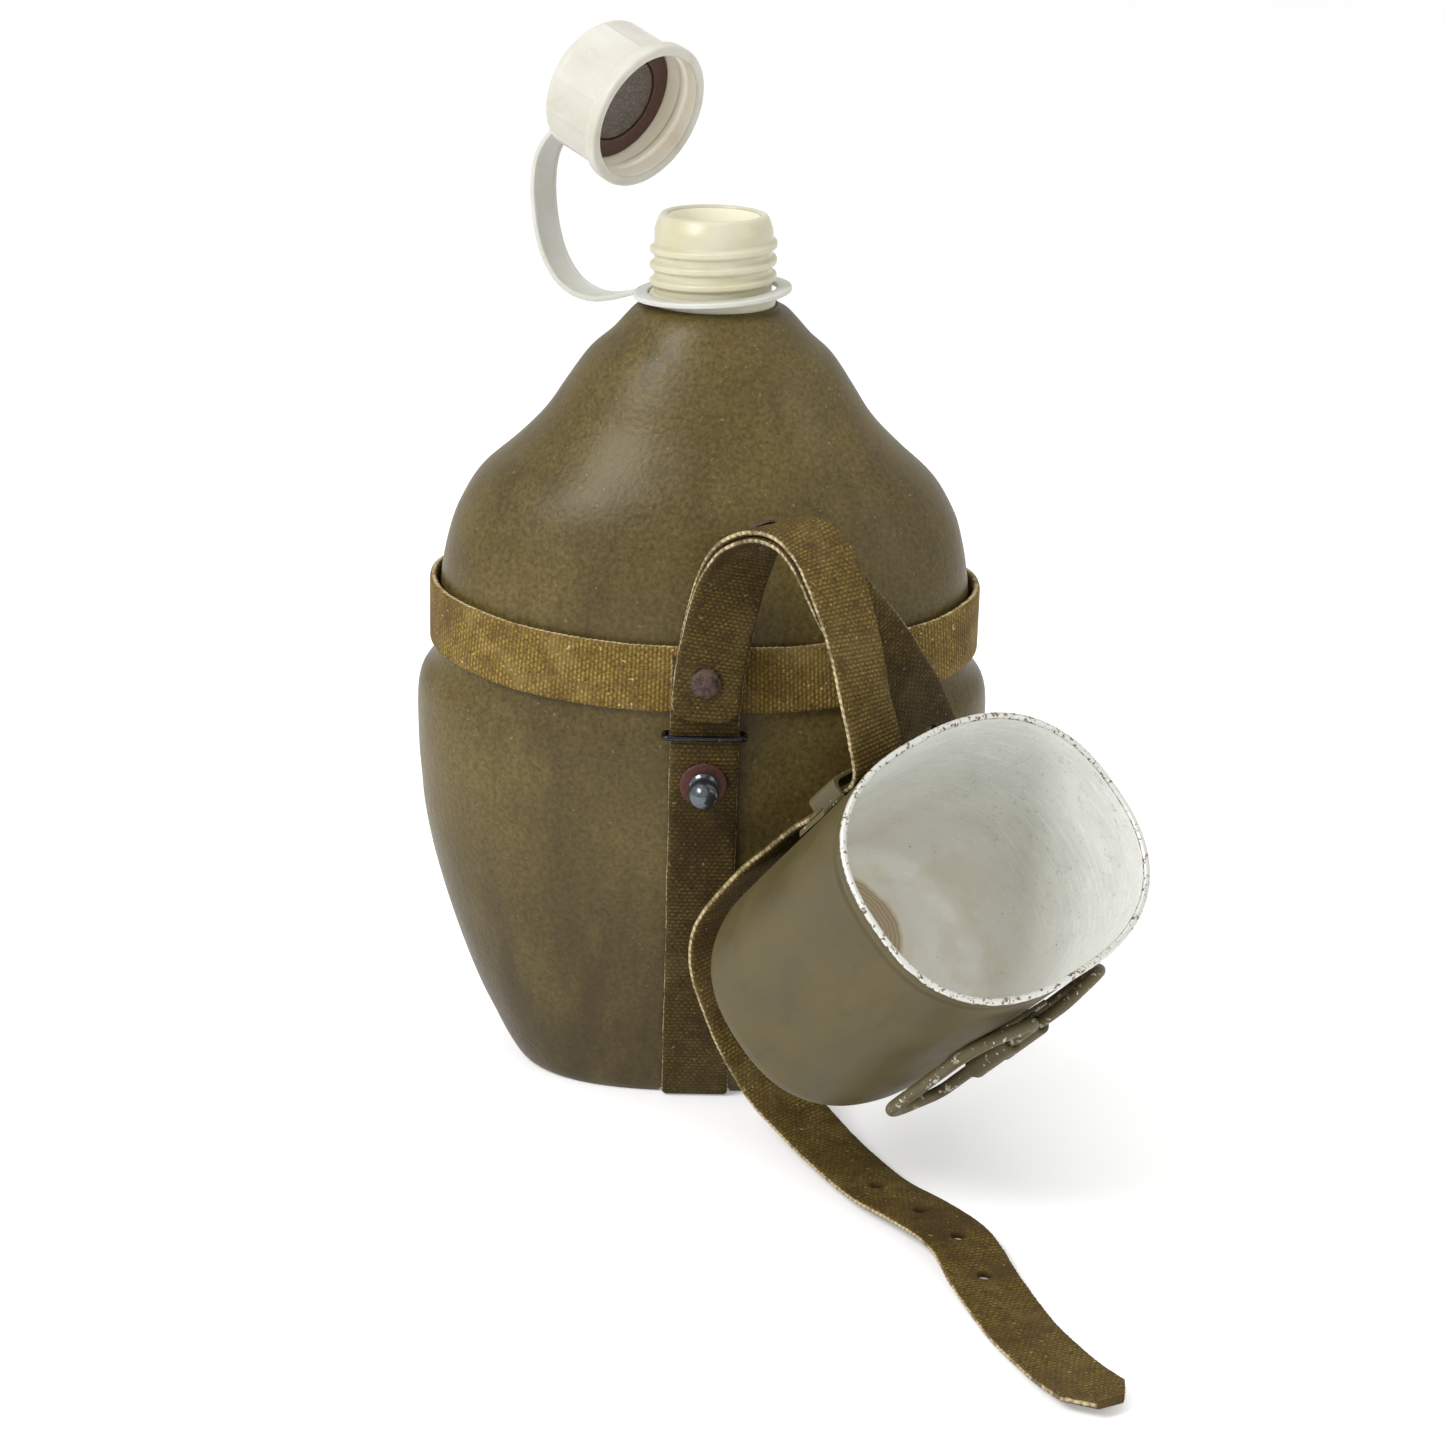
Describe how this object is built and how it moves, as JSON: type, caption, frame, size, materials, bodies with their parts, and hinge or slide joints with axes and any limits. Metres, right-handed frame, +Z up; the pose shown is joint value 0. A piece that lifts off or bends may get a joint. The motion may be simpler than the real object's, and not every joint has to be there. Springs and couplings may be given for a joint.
{
  "type": "canteen",
  "caption": "Flask-shaped plastic bottle in an insulating cover with a webbing harness, a tethered screw cap and an oval metal drinking cup hung from the harness.",
  "frame": {"origin": "centre of the canteen's base, on the surface it stands on", "axes": "+Z up through the mouth, +X along the canteen's width to its right, -Y out of the front that carries the cup"},
  "size_m": [0.1833, 0.2598, 0.2757],
  "materials": {
    "bottle_plastic": "cream translucent plastic, slightly yellowed",
    "cover_fabric": "olive-brown pebbled insulating cover with a soft sheen",
    "webbing": "woven olive cotton webbing, worn, with pale frayed edges",
    "harness_metal": "blackened steel, brown with age",
    "washer_metal": "reddish-brown oxidised steel",
    "keeper_wire": "black enamelled wire with specks of rust",
    "tether_plastic": "white translucent flexible plastic",
    "cap_plastic": "white translucent plastic, lightly soiled",
    "gasket_rubber": "dark brown rubber ring",
    "liner": "grey-brown speckled disc",
    "cup_metal": "olive green enamel outside, bare matt metal inside, chipped bright rim",
    "handle_wire": "olive green enamel worn to bright metal"
  },
  "bodies": {
    "canteen": {"bottle": "bottle_plastic", "cover": "cover_fabric", "waist_band": "webbing", "vertical_strap": "webbing", "cup_strap_upper": "webbing", "belt_strap_fixed": "webbing", "front_rivet": "harness_metal", "arch_rivet": "harness_metal", "back_rivet": "harness_metal", "front_stud": "harness_metal", "front_stud_washer": "washer_metal", "back_stud": "harness_metal", "back_stud_washer": "washer_metal"},
    "ring": {"tether_ring": "tether_plastic"},
    "tether": {"tether_band": "tether_plastic"},
    "cap": {"cap": "cap_plastic", "cap_gasket": "gasket_rubber", "cap_liner": "liner"},
    "strap_hang": {"cup_strap_middle": "webbing"},
    "cup": {"cup": "cup_metal", "cup_bridge": "cup_metal", "bridge_rivets": "cup_metal", "handle_plate": "cup_metal", "plate_rivets": "cup_metal"},
    "strap_tail": {"cup_strap_tail": "webbing"},
    "belt_flap": {"belt_strap_flap": "webbing"},
    "wing_left": {"handle_left": "handle_wire"},
    "wing_right": {"handle_right": "handle_wire"},
    "keeper_front": {"front_keeper": "keeper_wire"},
    "keeper_back": {"back_keeper": "keeper_wire"}
  },
  "joints": [
    {"name": "tether_swivel", "type": "hinge", "parent": "canteen", "child": "ring", "pos_m": [0, 0, 0.21], "axis": [-0.0698, 0, 0.9976], "continuous": true},
    {"name": "tether_flex", "type": "hinge", "parent": "ring", "child": "tether", "pos_m": [-0.02375, 0.01663, 0.205], "axis": [-0.5736, -0.8191, 0], "range_deg": [-6, 42], "stiffness_Nm_per_rad": 0.05},
    {"name": "cap_spin", "type": "hinge", "parent": "tether", "child": "cap", "pos_m": [-0.0314, 0.0206, 0.2594], "axis": [0.6897, -0.6497, -0.3198], "continuous": true},
    {"name": "strap_swing", "type": "hinge", "parent": "canteen", "child": "strap_hang", "pos_m": [0.021, -0.067, 0.1652], "axis": [-0.7547, -0.6541, -0.0503], "range_deg": [0, 12]},
    {"name": "cup_slide", "type": "slide", "parent": "strap_hang", "child": "cup", "axis": [0.436, -0.5813, 0.687], "range_m": [-0.0016, 0.002]},
    {"name": "strap_tail_lift", "type": "hinge", "parent": "strap_hang", "child": "strap_tail", "pos_m": [0.028, -0.0664, 0.0076], "axis": [-0.8121, -0.5836, 0], "range_deg": [0, 8]},
    {"name": "belt_flap", "type": "hinge", "parent": "canteen", "child": "belt_flap", "pos_m": [0.02553, -0.0697, 0.15972], "axis": [-0.6996, -0.6886, -0.1909], "range_deg": [0, 2.5]},
    {"name": "handle_left_fold", "type": "hinge", "parent": "cup", "child": "wing_left", "pos_m": [0.07051, -0.10958, 0.04726], "axis": [0.436, -0.5813, 0.687], "range_deg": [0, 95]},
    {"name": "handle_right_fold", "type": "hinge", "parent": "cup", "child": "wing_right", "pos_m": [0.07778, -0.1023, 0.04879], "axis": [-0.436, 0.5813, -0.687], "range_deg": [0, 95]},
    {"name": "keeper_front_slide", "type": "slide", "parent": "canteen", "child": "keeper_front", "axis": [0, 0, 1], "range_m": [-0.0035, 0.0035]},
    {"name": "keeper_back_slide", "type": "slide", "parent": "canteen", "child": "keeper_back", "axis": [0, 0, 1], "range_m": [-0.0035, 0.0035]}
  ]
}
